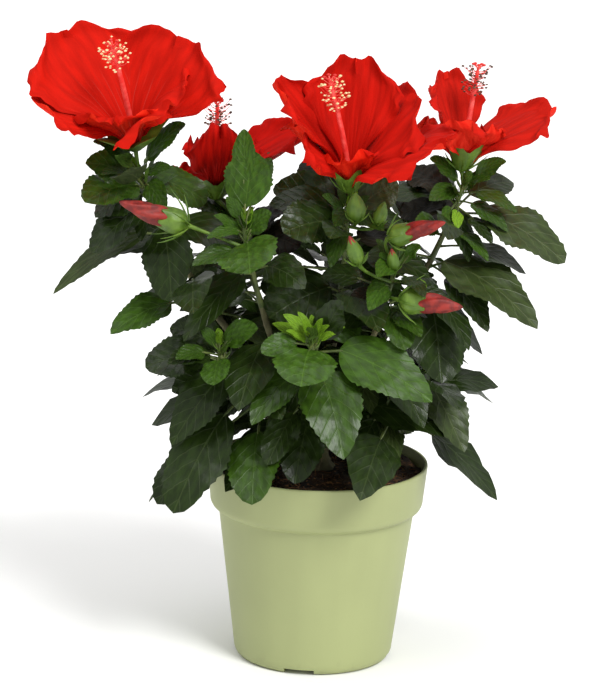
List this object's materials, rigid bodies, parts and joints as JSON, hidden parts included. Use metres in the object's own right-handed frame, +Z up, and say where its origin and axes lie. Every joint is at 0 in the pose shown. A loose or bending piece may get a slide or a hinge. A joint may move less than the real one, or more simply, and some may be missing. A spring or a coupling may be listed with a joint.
{
  "type": "potted hibiscus shrub",
  "caption": "Bushy flowering shrub with large toothed leaves and open trumpet flowers, growing in a round tapered nursery pot.",
  "frame": {"origin": "middle of the pot's flat underside", "axes": "+Z up along the plant, -Y towards its front, +X to the right seen from the front"},
  "size_m": [0.3113, 0.2136, 0.3762],
  "materials": {
    "pot_plastic": "smooth matte moulded polypropylene",
    "soil": "loose fibrous peat",
    "bark": "thin grey-green bark",
    "leaf": "glossy leaf with veins",
    "petal": "silky petal",
    "petal_wilted": "crumpled petal"
  },
  "bodies": {
    "root": {"pot": "pot_plastic", "soil": "soil", "trunk": "bark", "bough_left": "bark", "bough_back_left": "bark", "bough_middle": "bark", "bough_right": "bark", "bough_front": "bark", "bough_left_front": "bark", "bough_right_front": "bark", "bough_low_left": "bark", "bough_low_right": "bark", "bough_back": "bark", "bough_back_right": "bark", "bough_low_back_left": "bark", "bough_low_back_right": "bark", "foliage_left": "leaf", "foliage_back_left": "leaf", "foliage_middle": "leaf", "foliage_right": "leaf", "foliage_front": "leaf", "foliage_left_front": "leaf", "foliage_right_front": "leaf", "foliage_low_left": "leaf", "foliage_low_right": "leaf", "foliage_back": "leaf", "foliage_back_right": "leaf", "foliage_low_back_left": "leaf", "foliage_low_back_right": "leaf", "bloom_left": "petal", "bloom_middle": "petal", "bloom_right": "petal", "bloom_wilted": "petal_wilted"}
  },
  "joints": []
}
